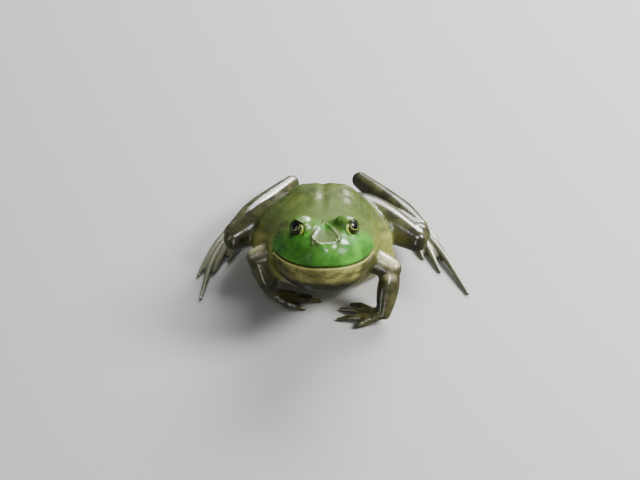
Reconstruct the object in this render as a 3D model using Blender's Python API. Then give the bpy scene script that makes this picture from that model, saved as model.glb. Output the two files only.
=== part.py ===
"""American bullfrog at rest: a still, life-size model in flesh-coloured solids.

The frog sits on its belly with the hands turned in under the throat and the hind legs folded.
+X is the frog's own left, -Y is ahead of it, and Z = 0 is the floor that it rests on.
Sizes are written in millimetres, and MM turns them into metres where a mesh is made.
"""
import math

import bmesh
import bpy
import numpy as np
from mathutils import Vector

MM = 0.001
GAP = 0.36              # room left between pieces that touch
THICKNESS_OF_WEB = 1.1
FLOOR_BLOCK = 100.0     # height of the block under the floor that trims the hands and feet

# Pose of the body: its axis runs from the lip back to the vent and sinks toward the tail.
PITCH = math.radians(25)
LIP_AHEAD = 86.0        # lip front, ahead of the middle of the belly rest
LIP_HEIGHT = 66.5
HEAD_TURN = math.radians(2.8)   # the snout points a little to the frog's left
TURN_PIVOT = 44.0       # place of the turn along the body
TURN_REAR = 62.0        # behind this nothing turns
TURN_BLEND = 28.0       # length of neck over which the turn comes in

NECK = 51.0             # where head and jaw end and the trunk begins
TAIL = 139.0

# Sections of head and trunk across the axis, each as: distance behind the lip, half width,
# top, height of the widest place, underside (heights from the mouth line), and the powers of
# the superellipses above and below the widest place.
BODY = (
    (0.0, 0.0, 0.9, 0.4, -0.2, 2.2, 2.0),
    (1.4, 7.8, 7.8, 0.0, -3.4, 2.2, 2.0),
    (5.5, 14.0, 12.8, 0.0, -8.0, 2.3, 2.0),
    (12.0, 19.6, 15.2, 0.0, -13.6, 2.3, 2.0),
    (20.0, 23.8, 17.4, 0.0, -18.6, 2.3, 2.1),
    (30.0, 27.2, 19.4, -0.2, -23.0, 2.3, 2.1),
    (40.0, 29.4, 21.0, -0.5, -26.0, 2.2, 2.1),
    (50.0, 30.8, 22.0, -1.5, -28.4, 2.2, 2.1),
    (62.0, 34.0, 22.8, -6.0, -31.0, 2.1, 2.2),
    (76.0, 40.0, 24.0, -11.0, -33.6, 2.0, 2.3),
    (90.0, 43.2, 25.2, -14.0, -35.0, 1.95, 2.4),
    (103.0, 38.6, 25.0, -14.5, -29.0, 1.95, 2.4),
    (116.0, 30.6, 18.6, -13.0, -22.0, 2.0, 2.3),
    (128.0, 20.0, 7.0, -10.0, -15.0, 2.0, 2.1),
    (136.0, 10.0, -1.4, -8.4, -11.4, 2.0, 2.0),
    (TAIL, 0.0, -6.2, -6.8, -7.4, 2.0, 2.0),
)

# The two ridges of the hips under the skin of the back.
HIP_RIDGE_HEIGHT = 2.2
HIP_RIDGE_PLACE = (14.5, 99.0)          # across, along
HIP_RIDGE_SPREAD = (7.0, 15.0)

EYE_RADIUS = 6.2
EYE_PLACE = (13.6, 25.6, 17.0)          # across, behind the lip, above the mouth line
ORBIT_RADIUS = 7.7                      # brow and upper lid, a round rise behind the eyeball
ORBIT_PLACE = (11.8, 27.7, 16.5)
EARDRUM_RADIUS = 6.0
EARDRUM_THICKNESS = 2.2
EARDRUM_SINK = 0.7                      # how far the disc's middle lies under the skin
EARDRUM_ALONG = 42.5
EARDRUM_ANGLE = math.radians(32)        # place of the disc round the head's section

# Joints of the limbs and the middle of the thigh in the world, in millimetres: across, back, up.
# Fingers and toes run from the first to the last digit: the tip's place on the floor, and how
# far the digit bows outward.
JOINTS = {
    "left": {
        "shoulder": (20, -33, 33), "elbow": (41, -41, 27), "wrist": (36.5, -58, 7),
        "knuckles": (27.5, -57, 3.4),
        "fingers": ((17.5, -44, -1), (10.8, -48.5, 0), (9.3, -57.4, 0), (20, -64, 1)),
        "hip": (12, 26, 21), "thigh": (35, 12, 21.5), "knee": (57.5, -4.5, 19),
        "shin": (60, 6.5, 20),
        "heel": (23.5, 62.5, 12.5), "ankle": (48, 46, 4.6),
        "toes": ((55, 13, 0), (62, -1, 0), (72, -13.5, 1), (88.2, -34, 2), (75.8, 2, 1)),
    },
    "right": {
        "shoulder": (-20, -31, 34), "elbow": (-40, -33, 29), "wrist": (-30.5, -40.5, 7.5),
        "knuckles": (-22, -41.5, 3.4),
        "fingers": ((-15, -35.5, 0), (-7, -37, 0), (-2, -41, 0), (-11.4, -48, 1)),
        "hip": (-12, 26, 21), "thigh": (-33, 9, 23.5), "knee": (-54, -4, 19.5),
        "shin": (-53.5, 7, 19.5),
        "heel": (-20, 59, 12.5), "ankle": (-45, 43, 4.6),
        "toes": ((-51, 10, 0), (-58, -4, 0), (-67, -14, 1), (-74.4, -38.5, 4.5), (-76.6, -17, 2)),
    },
}

# Limb shapes, each as rows of: part of the length, half width across, half height.
UPPER_ARM = ((0.0, 8.0, 8.0), (0.5, 7.6, 7.8), (0.85, 6.8, 7.0), (1.0, 6.2, 6.2))
FOREARM = ((0.0, 5.2, 5.2), (0.35, 6.6, 6.6), (0.7, 6.0, 5.8), (1.0, 4.4, 4.4))
PALM = ((0.0, 3.6, 3.2), (0.5, 5.6, 3.4), (1.0, 6.4, 2.6))
FINGER = ((0.0, 2.5, 2.5), (0.5, 1.9, 1.9), (1.0, 1.3, 1.3))
FINGER_SPREAD = 9.0                         # width of the row of knuckles
FINGER_ARCH = 0.8                           # rise of a finger's middle over its ends
THIGH = ((0.0, 10.0, 10.0), (0.32, 12.8, 12.8), (0.68, 10.4, 11.0), (1.0, 7.0, 7.6))
SHANK = ((0.0, 4.8, 5.2), (0.3, 7.4, 7.8), (0.65, 6.6, 7.0), (1.0, 5.0, 5.2))
TARSUS = ((0.0, 3.6, 3.6), (0.5, 4.0, 3.8), (1.0, 4.6, 3.6))
METATARSUS = ((0.0, 3.6, 2.8), (1.0, 6.0, 3.0))
SOLE_LENGTH = 12.0                          # from the ankle to where the toes part
SOLE_DROP = 1.2                             # how much lower than the ankle they part
TOE = ((0.0, 2.6, 2.6), (0.5, 1.8, 2.0), (1.0, 1.1, 1.1))
TOE_SPREAD = 8.0
TOE_ARCH = 1.0
WEB_REACH = (0.9, 0.85, 0.8, 0.65, 0.9)    # how far the web runs along each toe
WEB_HOLLOW = 0.22                           # how deep its edge dips between two toes
TIP_HEIGHT = 1.1                            # middle of a digit's tip over the floor


def smooth_rows(rows, count, round_ends=False):
    """Catmull-Rom curve through the rows. With round ends the first column stands still there."""
    rows = np.array(rows, float)
    before = 2 * rows[0] - rows[1]
    after = 2 * rows[-1] - rows[-2]
    if round_ends:
        before[0] = rows[1][0]
        after[0] = rows[-2][0]
    rows = np.vstack((before, rows, after))
    place = np.linspace(0, len(rows) - 3, count)
    span = np.minimum(place.astype(int), len(rows) - 4)
    t = (place - span)[:, None]
    a, b, c, d = (rows[span + step] for step in range(4))
    return 0.5 * (2 * b + (c - a) * t + (2 * a - 5 * b + 4 * c - d) * t**2
                  + (3 * b - a - 3 * c + d) * t**3)


BODY_CURVE = smooth_rows(BODY, 1200, round_ends=True)


def body_section(along):
    """Section values at a distance behind the lip, read from the curve through BODY."""
    return [np.interp(along, BODY_CURVE[:, 0], column) for column in BODY_CURVE.T[1:]]


def body_ring(along, angles):
    """Points of one section: superellipses above and below its widest place, in body axes."""
    half_width, top, widest, underside, upper_power, lower_power = body_section(along)
    across, above = np.cos(angles), np.sin(angles)
    power = 2 / np.where(above >= 0, upper_power, lower_power)
    reach = np.where(above >= 0, top - widest, widest - underside)
    x = half_width * np.sign(across) * np.abs(across) ** power
    z = widest + reach * np.sign(above) * np.abs(above) ** power
    aside = (np.abs(x) - HIP_RIDGE_PLACE[0]) / HIP_RIDGE_SPREAD[0]
    ahead = (along - HIP_RIDGE_PLACE[1]) / HIP_RIDGE_SPREAD[1]
    z += HIP_RIDGE_HEIGHT * np.exp(-aside**2 - ahead**2) * (above > 0)
    return np.stack((x, np.full_like(x, along), z), axis=-1)


def to_world(points):
    """Body axes to world axes: the head's turn about the neck, then the pitch of the body."""
    x, along, above = np.moveaxis(np.asarray(points, float), -1, 0)
    share = np.clip((TURN_REAR - along) / TURN_BLEND, 0, 1)
    turn = HEAD_TURN * share * share * (3 - 2 * share)
    ahead = along - TURN_PIVOT
    turned_x = x * np.cos(turn) - ahead * np.sin(turn)
    turned_along = TURN_PIVOT + x * np.sin(turn) + ahead * np.cos(turn)
    y = turned_along * math.cos(PITCH) + above * math.sin(PITCH) - LIP_AHEAD
    z = LIP_HEIGHT + above * math.cos(PITCH) - turned_along * math.sin(PITCH)
    return np.stack((turned_x, y, z), axis=-1)


def on_floor(rings):
    """What would sink into the floor is pressed flat on it."""
    rings = rings.copy()
    rings[..., 2] = np.maximum(rings[..., 2], 0)
    return rings


def add_mesh_object(name, mesh, collection):
    piece = bpy.data.objects.new(name, mesh)
    collection.objects.link(piece)
    return piece


def loft(name, rings, collection):
    """Closed mesh through rings of equal count, each end closed by a fan on its middle."""
    count, sides = rings.shape[:2]
    middles = rings[[0, -1]].mean(axis=1)
    points = np.vstack((rings.reshape(-1, 3), middles)) * MM
    index = np.arange(count * sides).reshape(count, sides)
    following = np.roll(index, -1, axis=1)
    faces = np.stack((index[:-1], following[:-1], following[1:], index[1:]), axis=-1)
    faces = faces.reshape(-1, 4).tolist()
    first, last = count * sides, count * sides + 1
    faces += [(first, b, a) for a, b in zip(index[0], following[0])]
    faces += [(last, a, b) for a, b in zip(index[-1], following[-1])]
    mesh = bpy.data.meshes.new(name)
    mesh.from_pydata(points.tolist(), [], faces)
    work = bmesh.new()
    work.from_mesh(mesh)
    bmesh.ops.recalc_face_normals(work, faces=work.faces)
    work.to_mesh(mesh)
    work.free()
    mesh.shade_smooth()
    return add_mesh_object(name, mesh, collection)


def limb_rings(path, shape, count, sides, dome=(62, 30)):
    """Elliptic rings along a smooth path, with smaller rings of a dome, in degrees, at its ends."""
    dome = np.radians(dome)
    parts = np.linspace(0, 1, count)
    centres = smooth_rows(path, 200)
    steps = np.linspace(0, 1, len(centres))
    shape = smooth_rows(shape, 100)
    centre = np.stack([np.interp(parts, steps, c) for c in centres.T], axis=-1)
    width, height = (np.interp(parts, shape[:, 0], c) for c in shape.T[1:])
    tangent = np.gradient(centre, axis=0)
    tangent /= np.linalg.norm(tangent, axis=1, keepdims=True)
    side = np.cross(tangent, (0.0, 0.0, 1.0))
    side /= np.linalg.norm(side, axis=1, keepdims=True)
    top = np.cross(side, tangent)
    rows = [(0, -width[0] * math.sin(a), math.cos(a)) for a in dome]
    rows += [(k, 0.0, 1.0) for k in range(count)]
    rows += [(-1, width[-1] * math.sin(a), math.cos(a)) for a in dome[::-1]]
    angles = np.linspace(0, 2 * math.pi, sides, endpoint=False)[:, None]
    return np.stack([
        centre[k] + tangent[k] * shift
        + scale * (width[k] * np.cos(angles) * side[k] + height[k] * np.sin(angles) * top[k])
        for k, shift, scale in rows])


def ball(name, radius, place, collection):
    """Sphere with its middle at a place in body axes."""
    bpy.ops.mesh.primitive_uv_sphere_add(
        segments=16, ring_count=9, radius=radius * MM, location=Vector(to_world(place) * MM))
    piece = bpy.context.object
    piece.name = name
    for owner in piece.users_collection:
        owner.objects.unlink(piece)
    collection.objects.link(piece)
    piece.data.shade_smooth()
    return piece


def disc(name, radius, thickness, middle, normal, collection):
    """Round disc lying across a direction given in the world."""
    bpy.ops.mesh.primitive_cylinder_add(
        vertices=20, radius=radius * MM, depth=thickness * MM,
        location=Vector(middle * MM), rotation=Vector(normal).to_track_quat("Z", "Y").to_euler())
    piece = bpy.context.object
    piece.name = name
    for owner in piece.users_collection:
        owner.objects.unlink(piece)
    collection.objects.link(piece)
    return piece


def hide_cutter(piece):
    piece.hide_render = True
    piece.display_type = "WIRE"
    return piece


def combine(piece, other, operation, solver="EXACT"):
    """Boolean of a piece with another object, or with all objects of a collection at once."""
    step = piece.modifiers.new(operation.lower() + "_" + other.name, "BOOLEAN")
    step.operation = operation
    step.solver = solver
    if isinstance(other, bpy.types.Collection):
        step.operand_type = "COLLECTION"
        step.collection = other
    else:
        step.object = other


def make_room(piece, neighbours, cutters, solver="EXACT"):
    """Cut each neighbour out of a piece, swollen by the gap, so that the two only just part."""
    for neighbour in neighbours:
        name = "room_" + neighbour.name
        room = bpy.data.objects.get(name)
        if room is None:
            room = hide_cutter(add_mesh_object(name, neighbour.data, cutters))
            swell = room.modifiers.new("swell", "DISPLACE")
            swell.strength = GAP * MM
            swell.mid_level = 0
        combine(piece, room, "DIFFERENCE", solver)


def paint(piece, colour, roughness):
    material = bpy.data.materials.new(piece.name)
    material.use_nodes = True
    shader = material.node_tree.nodes["Principled BSDF"]
    shader.inputs["Base Color"].default_value = (*colour, 1)
    shader.inputs["Roughness"].default_value = roughness
    shader.inputs["Metallic"].default_value = 0
    piece.data.materials.append(material)


def make_head_and_trunk(frog):
    """Head over the mouth line, jaw and throat under it, and the trunk behind the neck."""
    front = NECK * np.linspace(0.1, 1, 15) ** 2
    upper = np.radians(np.linspace(0, 180, 19))
    lower = np.radians(np.linspace(180, 360, 17))
    mouth = np.array((0, 0, GAP / 2))
    head = loft("head", to_world([body_ring(a, upper) + mouth for a in front]), frog)
    jaw = loft("lower_jaw", to_world([body_ring(a, lower) - mouth for a in front]), frog)
    back = NECK + GAP + (TAIL - 0.2 - NECK - GAP) * np.sin(np.radians(np.linspace(0, 88, 18)))
    whole = np.radians(np.linspace(0, 360, 32, endpoint=False))
    trunk = loft("trunk", on_floor(to_world([body_ring(a, whole) for a in back])), frog)
    return head, jaw, trunk


def fit_eye(side, sign, head, frog, cutters):
    """Eyeball in a socket, under a round rise of the head."""
    mirror = np.array((sign, 1, 1))
    orbit = ball("orbit_" + side, ORBIT_RADIUS, mirror * ORBIT_PLACE, cutters)
    socket = ball("socket_" + side, EYE_RADIUS + GAP, mirror * EYE_PLACE, cutters)
    combine(head, hide_cutter(orbit), "UNION")
    combine(head, hide_cutter(socket), "DIFFERENCE")
    eye = ball("eye_" + side, EYE_RADIUS, mirror * EYE_PLACE, frog)
    paint(eye, (0.10, 0.07, 0.02), 0.08)


def fit_eardrum(side, sign, head, frog, cutters):
    """Flat disc let into the side of the head behind the eye."""
    angle = EARDRUM_ANGLE if sign > 0 else math.pi - EARDRUM_ANGLE
    nearby = np.array((angle - 0.05, angle, angle + 0.05))
    here = to_world(body_ring(EARDRUM_ALONG, nearby))
    behind = to_world(body_ring(EARDRUM_ALONG + 2, nearby))
    normal = np.cross(here[2] - here[0], behind[1] - here[1])
    normal /= np.linalg.norm(normal)
    middle = here[1] - EARDRUM_SINK * normal
    pocket = disc("pocket_" + side, EARDRUM_RADIUS + GAP, EARDRUM_THICKNESS + 2 * GAP,
                  middle, normal, cutters)
    combine(head, hide_cutter(pocket), "DIFFERENCE")
    drum = disc("eardrum_" + side, EARDRUM_RADIUS, EARDRUM_THICKNESS, middle, normal, frog)
    paint(drum, (0.22, 0.20, 0.08), 0.35)


def add_digits(piece, knuckles, tips, shape, width, arch, cutters):
    """Digits in a row across the hand or foot. Returns their collection and their paths."""
    digits = bpy.data.collections.new(piece.name + "_digits")
    cutters.children.link(digits)
    knuckles = np.array(knuckles, float)
    ends = np.array([(x, y, TIP_HEIGHT) for x, y, _ in tips])
    heading = (ends.mean(axis=0) - knuckles) * (1, 1, 0)
    across = np.cross((0, 0, 1), heading / np.linalg.norm(heading))
    across *= np.sign(across @ (ends[-1] - ends[0]))
    paths = []
    for number, (end, (_, _, bow)) in enumerate(zip(ends, tips)):
        start = knuckles + across * width * (number / (len(tips) - 1) - 0.5)
        middle = (start + end) / 2 + across * bow + (0, 0, arch)
        paths.append(smooth_rows((start, middle, end), 21))
        rings = limb_rings((start, middle, end), shape, 5, 8, dome=(45,))
        hide_cutter(loft(f"{piece.name}_digit_{number + 1}", rings, digits))
    return digits, paths


def web_outline(paths):
    """Outline of the web in plan: from the ankle out along each toe, hollow between them."""
    root = np.mean([path[0] for path in paths], axis=0)
    ends = [path[round(reach * (len(path) - 1))] for path, reach in zip(paths, WEB_REACH)]
    outline = [paths[0][0], ends[0]]
    for first, second in zip(ends, ends[1:]):
        for part in (0.25, 0.5, 0.75):
            point = first + part * (second - first)
            outline.append(point + WEB_HOLLOW * math.sin(math.pi * part) * (root - point))
        outline.append(second)
    outline.append(paths[-1][0])
    return outline


def add_web(piece, digits, paths):
    """Flat web between the toes, as a filled outline just over the floor."""
    curve = bpy.data.curves.new(piece.name + "_web", "CURVE")
    curve.dimensions = "2D"
    curve.fill_mode = "BOTH"
    curve.extrude = THICKNESS_OF_WEB / 2 * MM
    outline = web_outline(paths)
    spline = curve.splines.new("POLY")
    spline.points.add(len(outline) - 1)
    for point, (x, y, _) in zip(spline.points, outline):
        point.co = (x * MM, y * MM, 0, 1)
    spline.use_cyclic_u = True
    drawn = add_mesh_object(piece.name + "_web_curve", curve, digits)
    drawn.location.z = (THICKNESS_OF_WEB / 2 + 0.1) * MM
    bpy.context.view_layer.update()
    mesh = bpy.data.meshes.new_from_object(drawn.evaluated_get(
        bpy.context.evaluated_depsgraph_get()))
    mesh.transform(drawn.matrix_world)
    bpy.data.objects.remove(drawn)
    work = bmesh.new()
    work.from_mesh(mesh)
    bmesh.ops.remove_doubles(work, verts=work.verts, dist=1e-6)
    bmesh.ops.recalc_face_normals(work, faces=work.faces)
    work.to_mesh(mesh)
    work.free()
    hide_cutter(add_mesh_object(piece.name + "_web", mesh, digits))


def make_floor_cutter(cutters):
    """Block under the floor, which trims the hands and feet."""
    bpy.ops.mesh.primitive_cube_add(size=1, location=(0, 0, -FLOOR_BLOCK / 2 * MM))
    floor = bpy.context.object
    floor.name = "floor_block"
    floor.scale = (2.5 * FLOOR_BLOCK * MM, 2 * FLOOR_BLOCK * MM, FLOOR_BLOCK * MM)
    for owner in floor.users_collection:
        owner.objects.unlink(floor)
    cutters.objects.link(floor)
    return hide_cutter(floor)


def make_arm(side, at, body, floor, frog, cutters):
    upper = loft("upper_arm_" + side,
                 limb_rings((at["shoulder"], at["elbow"]), UPPER_ARM, 6, 14), frog)
    fore = loft("forearm_" + side, limb_rings((at["elbow"], at["wrist"]), FOREARM, 6, 14), frog)
    hand = loft("hand_" + side, limb_rings((at["wrist"], at["knuckles"]), PALM, 4, 12), frog)
    fingers, _ = add_digits(hand, at["knuckles"], at["fingers"], FINGER,
                            FINGER_SPREAD, FINGER_ARCH, cutters)
    combine(hand, fingers, "UNION", "MANIFOLD")
    combine(hand, floor, "DIFFERENCE", "MANIFOLD")
    make_room(upper, body, cutters)
    make_room(fore, (upper, *body), cutters)
    make_room(hand, (fore,), cutters, "MANIFOLD")
    paint(upper, (0.13, 0.13, 0.05), 0.25)
    paint(fore, (0.08, 0.09, 0.04), 0.25)
    paint(hand, (0.08, 0.09, 0.05), 0.25)


def make_leg(side, at, trunk, floor, frog, cutters):
    thigh_path = at["hip"], at["thigh"], at["knee"]
    thigh = loft("thigh_" + side, on_floor(limb_rings(thigh_path, THIGH, 8, 16)), frog)
    shank = loft("shank_" + side, limb_rings((at["shin"], at["heel"]), SHANK, 8, 14), frog)
    tarsus = loft("tarsus_" + side,
                  on_floor(limb_rings((at["heel"], at["ankle"]), TARSUS, 6, 10)), frog)
    longest_toe = np.array((*at["toes"][3][:2], 0))
    heading = (longest_toe - at["ankle"]) * (1, 1, 0)
    root = at["ankle"] + SOLE_LENGTH * heading / np.linalg.norm(heading) - (0, 0, SOLE_DROP)
    foot = loft("foot_" + side, limb_rings((at["ankle"], root), METATARSUS, 3, 10), frog)
    toes, paths = add_digits(foot, root, at["toes"], TOE, TOE_SPREAD, TOE_ARCH, cutters)
    add_web(foot, toes, paths)
    combine(foot, toes, "UNION", "MANIFOLD")
    combine(foot, floor, "DIFFERENCE", "MANIFOLD")
    make_room(thigh, (trunk,), cutters)
    make_room(shank, (thigh, trunk), cutters)
    make_room(tarsus, (shank, thigh, trunk), cutters)
    make_room(foot, (tarsus, shank, thigh), cutters, "MANIFOLD")
    paint(thigh, (0.14, 0.16, 0.09), 0.22)
    paint(shank, (0.16, 0.18, 0.13), 0.22)
    paint(tarsus, (0.14, 0.15, 0.07), 0.25)
    paint(foot, (0.15, 0.16, 0.11), 0.22)


def build():
    for piece in list(bpy.data.objects):
        bpy.data.objects.remove(piece, do_unlink=True)
    frog = bpy.data.collections.new("bullfrog")
    cutters = bpy.data.collections.new("cutters")
    bpy.context.scene.collection.children.link(frog)
    bpy.context.scene.collection.children.link(cutters)
    floor = make_floor_cutter(cutters)
    head, jaw, trunk = make_head_and_trunk(frog)
    paint(head, (0.08, 0.27, 0.03), 0.18)
    paint(jaw, (0.20, 0.19, 0.07), 0.22)
    paint(trunk, (0.20, 0.27, 0.08), 0.22)
    for side, sign in (("left", 1), ("right", -1)):
        fit_eye(side, sign, head, frog, cutters)
        fit_eardrum(side, sign, head, frog, cutters)
        make_arm(side, JOINTS[side], (trunk, jaw, head), floor, frog, cutters)
        make_leg(side, JOINTS[side], trunk, floor, frog, cutters)


build()
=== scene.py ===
"""Life-size bullfrog, a still model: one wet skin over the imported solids, and two eyes.

The frog faces -Y, its own left is +X, and it rests on Z = 0. Sizes are in millimetres, and MM
turns them into metres where a mesh is made. Body axes are: across, along (back from the lip) and
above (the mouth line). The skin is worked out in four steps: smooth surfaces on grids for body,
limbs, digits and webs; one closed mesh round them all; soft joints between them; and then lids,
lips, nostrils, eardrums and folds raised on it. Fields on its points say where its finish changes.
"""
import math

import bmesh
import bpy
import numpy as np
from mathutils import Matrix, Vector


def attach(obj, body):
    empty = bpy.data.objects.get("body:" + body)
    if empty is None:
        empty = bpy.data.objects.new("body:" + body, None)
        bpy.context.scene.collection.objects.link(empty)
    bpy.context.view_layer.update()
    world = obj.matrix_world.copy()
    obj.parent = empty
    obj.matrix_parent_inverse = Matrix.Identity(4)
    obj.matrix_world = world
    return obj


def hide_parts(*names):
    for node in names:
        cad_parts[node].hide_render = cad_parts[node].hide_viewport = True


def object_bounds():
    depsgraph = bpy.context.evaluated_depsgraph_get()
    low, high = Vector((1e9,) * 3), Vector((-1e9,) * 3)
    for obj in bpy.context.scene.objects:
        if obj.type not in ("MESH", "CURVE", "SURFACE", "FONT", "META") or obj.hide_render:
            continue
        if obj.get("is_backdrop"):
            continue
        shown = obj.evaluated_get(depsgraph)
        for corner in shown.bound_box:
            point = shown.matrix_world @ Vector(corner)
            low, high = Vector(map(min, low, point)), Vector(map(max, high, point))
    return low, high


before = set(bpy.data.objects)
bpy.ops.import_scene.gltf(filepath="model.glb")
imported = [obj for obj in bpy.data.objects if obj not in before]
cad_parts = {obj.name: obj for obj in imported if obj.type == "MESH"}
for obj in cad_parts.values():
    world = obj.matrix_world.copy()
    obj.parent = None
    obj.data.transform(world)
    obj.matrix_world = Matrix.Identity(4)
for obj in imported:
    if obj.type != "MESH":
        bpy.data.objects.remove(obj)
CAD_LOW, CAD_HIGH = (np.array(corner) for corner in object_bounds())

MM = 0.001

# ---- the sizes of the solids
PITCH = math.radians(25)
LIP_AHEAD = 86.0
LIP_HEIGHT = 66.5
HEAD_TURN = math.radians(2.8)
TURN_PIVOT = 44.0
TURN_REAR = 62.0
TURN_BLEND = 28.0
TAIL = 139.0

# distance behind the lip, half width, top, height of the widest place, underside, two powers
BODY = (
    (0, 0, 0.9, 0.4, -0.2, 2.2, 2),
    (1.4, 7.8, 7.8, 0, -3.4, 2.2, 2),
    (5.5, 14, 12.8, 0, -8, 2.3, 2),
    (12, 19.6, 15.2, 0, -13.6, 2.3, 2),
    (20, 23.8, 17.4, 0, -18.6, 2.3, 2.1),
    (30, 27.2, 19.4, -0.2, -23, 2.3, 2.1),
    (40, 29.4, 21, -0.5, -26, 2.2, 2.1),
    (50, 30.8, 22, -1.5, -28.4, 2.2, 2.1),
    (62, 34, 22.8, -6, -31, 2.1, 2.2),
    (76, 40, 24, -11, -33.6, 2, 2.3),
    (90, 43.2, 25.2, -14, -35, 1.95, 2.4),
    (103, 38.6, 25, -14.5, -29, 1.95, 2.4),
    (116, 30.6, 18.6, -13, -22, 2, 2.3),
    (128, 20, 7, -10, -15, 2, 2.1),
    (136, 10, -1.4, -8.4, -11.4, 2, 2),
    (TAIL, 0, -6.2, -6.8, -7.4, 2, 2),
)
# height, middle and half breadth across, the same along
HIP_RIDGE = (2.2, 14.5, 7, 99, 15)

EYE_RADIUS = 6.2
EYE_PLACE = np.array((13.6, 25.6, 17))
ORBIT_RADIUS = 7.7
ORBIT_PLACE = np.array((11.8, 27.7, 16.5))
EARDRUM_RADIUS = 6.0
EARDRUM_ALONG = 42.5
EARDRUM_ANGLE = math.radians(32)

SIDES = {"left": 1, "right": -1}
# places of the joints in the world; for a digit the tip's x and y, and how far it bows aside
JOINTS = {
    "left": {
        "shoulder": (20, -33, 33), "elbow": (41, -41, 27), "wrist": (36.5, -58, 7),
        "knuckles": (27.5, -57, 3.4),
        "fingers": ((17.5, -44, -1), (10.8, -48.5, 0), (9.3, -57.4, 0), (20, -64, 1)),
        "hip": (12, 26, 21), "thigh": (35, 12, 21.5), "knee": (57.5, -4.5, 19),
        "shin": (60, 6.5, 20), "heel": (23.5, 62.5, 12.5), "ankle": (48, 46, 4.6),
        "toes": ((55, 13, 0), (62, -1, 0), (72, -13.5, 1), (88.2, -34, 2), (75.8, 2, 1)),
    },
    "right": {
        "shoulder": (-20, -31, 34), "elbow": (-40, -33, 29), "wrist": (-30.5, -40.5, 7.5),
        "knuckles": (-22, -41.5, 3.4),
        "fingers": ((-15, -35.5, 0), (-7, -37, 0), (-2, -41, 0), (-11.4, -48, 1)),
        "hip": (-12, 26, 21), "thigh": (-33, 9, 23.5), "knee": (-54, -4, 19.5),
        "shin": (-53.5, 7, 19.5), "heel": (-20, 59, 12.5), "ankle": (-45, 43, 4.6),
        "toes": ((-51, 10, 0), (-58, -4, 0), (-67, -14, 1), (-74.4, -38.5, 4.5), (-76.6, -17, 2)),
    },
}
# shapes of limbs: part of the length, half width, half height
UPPER_ARM = ((0, 8, 8), (0.5, 7.6, 7.8), (0.85, 6.8, 7), (1, 6.2, 6.2))
FOREARM = ((0, 5.2, 5.2), (0.35, 6.6, 6.6), (0.7, 6, 5.8), (1, 4.4, 4.4))
PALM = ((0, 3.6, 3.2), (0.5, 5.6, 3.4), (1, 6.4, 2.6))
THIGH = ((0, 10, 10), (0.32, 12.8, 12.8), (0.68, 10.4, 11), (1, 7, 7.6))
SHANK = ((0, 4.8, 5.2), (0.3, 7.4, 7.8), (0.65, 6.6, 7), (1, 5, 5.2))
TARSUS = ((0, 3.6, 3.6), (0.5, 4, 3.8), (1, 4.6, 3.6))
METATARSUS = ((0, 3.6, 2.8), (1, 6, 3))
FINGER = ((0, 2.5, 2.5), (0.35, 2.05, 2), (0.7, 1.65, 1.6), (0.9, 1.3, 1.3), (1, 1.1, 1.1))
TOE = ((0, 3.1, 2.8), (0.3, 2.4, 2.4), (0.6, 1.9, 1.9), (0.85, 1.35, 1.35), (1, 0.85, 0.85))
FINGER_SPREAD, FINGER_ARCH = 9, 0.8
TOE_SPREAD, TOE_ARCH = 8, 1.0
SOLE_LENGTH, SOLE_DROP = 12, 1.2
WEB_REACH = (0.9, 0.85, 0.8, 0.65, 0.9)
WEB_HOLLOW = 0.22
TIP_HEIGHT = 1.1
# the joints that each limb runs through, its shape, the number and strength of its dark bars
LIMBS = (
    (("shoulder", "elbow"), UPPER_ARM, 1.2, 0.7),
    (("elbow", "wrist"), FOREARM, 1.8, 0.8),
    (("wrist", "knuckles"), PALM, 1, 0.3),
    (("hip", "thigh", "knee"), THIGH, 3.4, 1),
    (("shin", "heel"), SHANK, 4.2, 1),
    (("heel", "ankle"), TARSUS, 2.4, 0.9),
)

# ---- the skin's own sizes
VOXEL = 1.1                         # side of the squares of the skin's mesh
LIMB_GRID, SOLE_GRID, FINGER_GRID, TOE_GRID = (40, 48), (20, 32), (40, 24), (60, 24)
EYE_COVER = 0.9                     # skin over the eyeball before the opening is made
WRAP = 0.35                         # extra thickness of digits while the skin is wrapped round
WEB_THICKNESS = 1.9
KNEE_RADIUS = 7.2
KNEE_SHIFT = (0, -0.5, 0)
JOINT_SOFTNESS = 0.25               # of the joints behind the head, the head's being 1

PUPIL_AXIS = (49, 25)               # degrees outward from straight ahead, and up
PUPIL_HALF = (0.5, 0.42)            # half width and height of the pupil, in eyeball radii
OPENING_AXIS = (43, 13)
# half angle of the opening between the lids, at places round it from the front corner upward
OPENING = ((0, 56), (50, 46), (95, 39), (140, 45), (180, 55), (240, 57), (300, 55), (360, 56))
LID = 0.75                          # thickness of the lids over the eyeball
LID_TUCK = 0.7                      # how far the skin lies inside the eyeball's surface

MOUTH_CORNER = 44.5
MOUTH_BEND, MOUTH_DROP = 37, 0.03   # where the mouth's line turns down, and how steeply
# height, place above the mouth's line, half breadth
LIPS = ((0.45, 1.7, 1.2), (-0.95, -0.1, 0.55), (0.22, -1.5, 0.7), (-0.35, -3.1, 1))
KITE = (3, 12.5, 30, 7.8)           # flat top of the snout: front, widest, rear, half width
KITE_RIDGE, KITE_DEPTH = 0.55, 0.85
NOSTRIL = (6.9, 8)                  # across, along
NOSTRIL_HALF = (0.6, 1)
NOSTRIL_SLANT = math.radians(40)
# height, middle and half breadth across, the same along, and the height above the mouth where
# it begins; None means that it fades in with the snout's top
SNOUT = (
    (-0.5, 15, 3, 15, 6, None),         # hollow in front of the eye
    (0.5, 14.5, 3, 10.5, 3.5, 3),       # cheek
    (0.6, 0, 3.8, 5.4, 1.7, None),      # bump over the upper lip
    (0.45, 7.4, 1.2, 12.5, 1.6, None),  # corners of the kite
    (-0.8, 0, 4.5, 27, 8, 5),           # hollow between the eyes
)
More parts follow.
